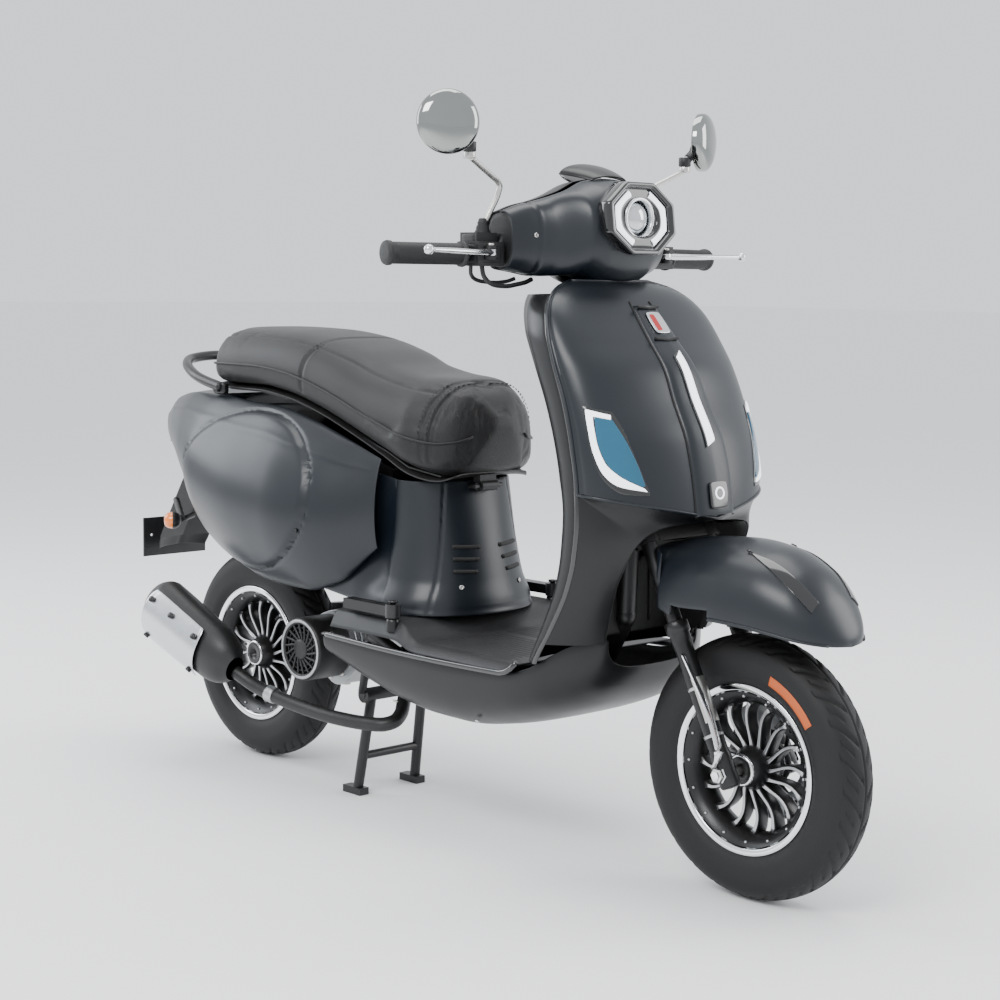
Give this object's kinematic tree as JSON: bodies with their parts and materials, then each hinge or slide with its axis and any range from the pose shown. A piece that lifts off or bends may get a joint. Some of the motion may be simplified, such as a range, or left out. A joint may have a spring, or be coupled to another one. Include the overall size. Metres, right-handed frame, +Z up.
{
  "type": "moped scooter",
  "caption": "Step-through moped scooter with sprung fork and swinging engine unit, working controls, lifting seat, folding footpegs and centre stand.",
  "frame": {"origin": "on the ground, at the middle of the whole scooter's length and width", "axes": "+X forward, +Y to the rider's left, +Z up; the wheels turn about Y"},
  "size_m": [1.872, 0.7918, 1.295],
  "materials": {
    "body_satin": "moulded plastic with satin black paint and a bluish sheen",
    "body_gloss": "semi-gloss black moulded plastic",
    "floor_plastic": "textured grey-black moulded plastic",
    "black_plastic": "textured black plastic",
    "frame_paint": "black powder coat",
    "cast_alloy": "cast aluminium",
    "alloy_bright": "polished aluminium",
    "steel": "machined steel",
    "chrome": "chrome plate",
    "black_alloy": "black painted cast alloy with machined faces",
    "tyre_rubber": "tyre rubber",
    "grip_rubber": "moulded rubber",
    "seat_vinyl": "black grained vinyl",
    "lamp_white": "clear lamp with white diodes",
    "lamp_red": "red lamp lens",
    "lamp_amber": "amber lamp lens",
    "exhaust_black": "heat-proof satin black",
    "spring_black": "black coated spring steel",
    "button_red": "red button plastic"
  },
  "bodies": {
    "chassis": {"main_frame": "frame_paint", "leg_shield": "body_satin", "shield_lower": "body_gloss", "knee_panel": "body_gloss", "center_tie": "body_satin", "front_lamps": "lamp_white", "floor_board": "floor_plastic", "lower_skirt": "body_gloss", "seat_cowl": "body_satin", "side_panel_right": "body_satin", "side_panel_left": "body_satin", "tail_light": "lamp_red", "rear_mudguard": "black_plastic", "rear_signals": "lamp_amber", "grab_rail": "body_gloss", "storage_bucket": "black_plastic", "fuel_tank": "black_plastic"},
    "steering": {"steering_stem": "steel", "front_fender": "body_satin", "handlebar": "frame_paint", "headset_front": "body_satin", "headset_rear": "body_satin", "headlight": "lamp_white", "left_grip": "grip_rubber", "control_pods": "black_plastic", "mirror_stems": "steel", "control_cables": "grip_rubber"},
    "fork": {"fork_sliders": "black_alloy", "front_axle": "chrome", "brake_caliper": "alloy_bright"},
    "front_wheel": {"front_rim": "black_alloy", "front_tyre": "tyre_rubber", "brake_disc": "steel"},
    "engine_unit": {"crankcase": "cast_alloy", "cylinder": "cast_alloy", "cvt_cover": "black_plastic", "fan_cover": "black_plastic", "exhaust": "exhaust_black", "heat_shield": "chrome"},
    "rear_wheel": {"rear_rim": "black_alloy", "rear_tyre": "tyre_rubber"},
    "crank": {"crankshaft": "steel", "cooling_fan": "black_plastic"},
    "driven_pulley": {"driven_pulley": "steel"},
    "shock_upper": {"shock_upper": "frame_paint", "shock_spring": "spring_black"},
    "shock_lower": {"shock_lower": "steel"},
    "seat": {"seat_base": "black_plastic", "seat_cushion": "seat_vinyl"},
    "throttle_grip": {"throttle_grip": "grip_rubber"},
    "brake_lever_right": {"brake_lever_right": "alloy_bright"},
    "brake_lever_left": {"brake_lever_left": "alloy_bright"},
    "mirror_right": {"mirror_right": "chrome"},
    "mirror_left": {"mirror_left": "chrome"},
    "center_stand": {"center_stand": "frame_paint"},
    "key_switch": {"key_switch": "chrome"},
    "footpeg_right": {"footpeg_right": "black_plastic"},
    "footpeg_left": {"footpeg_left": "black_plastic"},
    "starter_button": {"starter_button": "button_red"},
    "turn_switch": {"turn_switch": "black_plastic"}
  },
  "joints": [
    {"name": "steering", "type": "hinge", "parent": "chassis", "child": "steering", "pos_m": [0.70396, 0, 0.20783], "axis": [-0.454, 0, 0.891], "range_deg": [-36, 36]},
    {"name": "fork_travel", "type": "slide", "parent": "steering", "child": "fork", "axis": [-0.454, 0, 0.891], "range_m": [-0.01, 0.05], "stiffness_N_per_m": 60000, "springref_m": -0.0075},
    {"name": "front_wheel", "type": "hinge", "parent": "fork", "child": "front_wheel", "pos_m": [0.72, 0, 0.216], "axis": [0, 1, 0], "continuous": true},
    {"name": "engine_swing", "type": "hinge", "parent": "chassis", "child": "engine_unit", "pos_m": [-0.19, 0, 0.352], "axis": [0, 1, 0], "range_deg": [-2, 6], "stiffness_Nm_per_rad": 9000, "springref_deg": -1.15},
    {"name": "rear_wheel", "type": "hinge", "parent": "engine_unit", "child": "rear_wheel", "pos_m": [-0.59, 0, 0.216], "axis": [0, 1, 0], "continuous": true},
    {"name": "crankshaft", "type": "hinge", "parent": "engine_unit", "child": "crank", "pos_m": [-0.31, 0, 0.275], "axis": [0, 1, 0], "continuous": true},
    {"name": "driven_pulley", "type": "hinge", "parent": "engine_unit", "child": "driven_pulley", "pos_m": [-0.59, 0, 0.222], "axis": [0, 1, 0], "continuous": true},
    {"name": "shock_tilt", "type": "hinge", "parent": "chassis", "child": "shock_upper", "pos_m": [-0.548, 0.074, 0.615], "axis": [0, 1, 0], "range_deg": [-4, 4]},
    {"name": "shock_stroke", "type": "slide", "parent": "shock_upper", "child": "shock_lower", "axis": [-0.2206, 0, -0.9754], "range_m": [-0.06, 0.03], "deforming": ["shock_spring"]},
    {"name": "seat_hinge", "type": "hinge", "parent": "chassis", "child": "seat", "pos_m": [0.076, 0, 0.618], "axis": [0, 1, 0], "range_deg": [0, 65]},
    {"name": "throttle", "type": "hinge", "parent": "steering", "child": "throttle_grip", "pos_m": [0.274, -0.244, 1.033], "axis": [0.1871, 0.9823, 0], "range_deg": [0, 75], "stiffness_Nm_per_rad": 0.3, "springref_deg": -22.92},
    {"name": "brake_lever_right", "type": "hinge", "parent": "steering", "child": "brake_lever_right", "pos_m": [0.306, -0.214, 1.036], "axis": [0, 0, -1], "range_deg": [0, 15], "stiffness_Nm_per_rad": 4, "springref_deg": -14.32},
    {"name": "brake_lever_left", "type": "hinge", "parent": "steering", "child": "brake_lever_left", "pos_m": [0.306, 0.214, 1.036], "axis": [0, 0, 1], "range_deg": [0, 15], "stiffness_Nm_per_rad": 4, "springref_deg": -14.32},
    {"name": "mirror_right", "type": "hinge", "parent": "steering", "child": "mirror_right", "pos_m": [0.304, -0.262, 1.206], "axis": [0, 0, 1], "range_deg": [-20, 20]},
    {"name": "mirror_left", "type": "hinge", "parent": "steering", "child": "mirror_left", "pos_m": [0.304, 0.262, 1.206], "axis": [0, 0, 1], "range_deg": [-20, 20]},
    {"name": "center_stand", "type": "hinge", "parent": "chassis", "child": "center_stand", "pos_m": [-0.175, 0, 0.2], "axis": [0, 1, 0], "range_deg": [0, 62]},
    {"name": "ignition_key", "type": "hinge", "parent": "steering", "child": "key_switch", "pos_m": [0.246, -0.078, 1.096], "axis": [1, 0, 0], "range_deg": [-45, 45]},
    {"name": "footpeg_right", "type": "hinge", "parent": "chassis", "child": "footpeg_right", "pos_m": [0.046, -0.2, 0.404], "axis": [0, 0, 1], "range_deg": [0, 85]},
    {"name": "footpeg_left", "type": "hinge", "parent": "chassis", "child": "footpeg_left", "pos_m": [0.046, 0.2, 0.404], "axis": [0, 0, -1], "range_deg": [0, 85]},
    {"name": "starter_button", "type": "slide", "parent": "steering", "child": "starter_button", "axis": [1, 0, 0], "range_m": [0, 0.003], "stiffness_N_per_m": 300, "springref_m": -0.004},
    {"name": "turn_switch", "type": "slide", "parent": "steering", "child": "turn_switch", "axis": [0, 1, 0], "range_m": [-0.004, 0.004]}
  ],
  "couplings": [
    {"joint": "shock_tilt", "follows": "engine_swing", "ratio": 0.3686},
    {"joint": "shock_stroke", "follows": "engine_swing", "m_per_rad": -0.4106},
    {"joint": "driven_pulley", "follows": "crankshaft", "ratio": 0.8387}
  ]
}
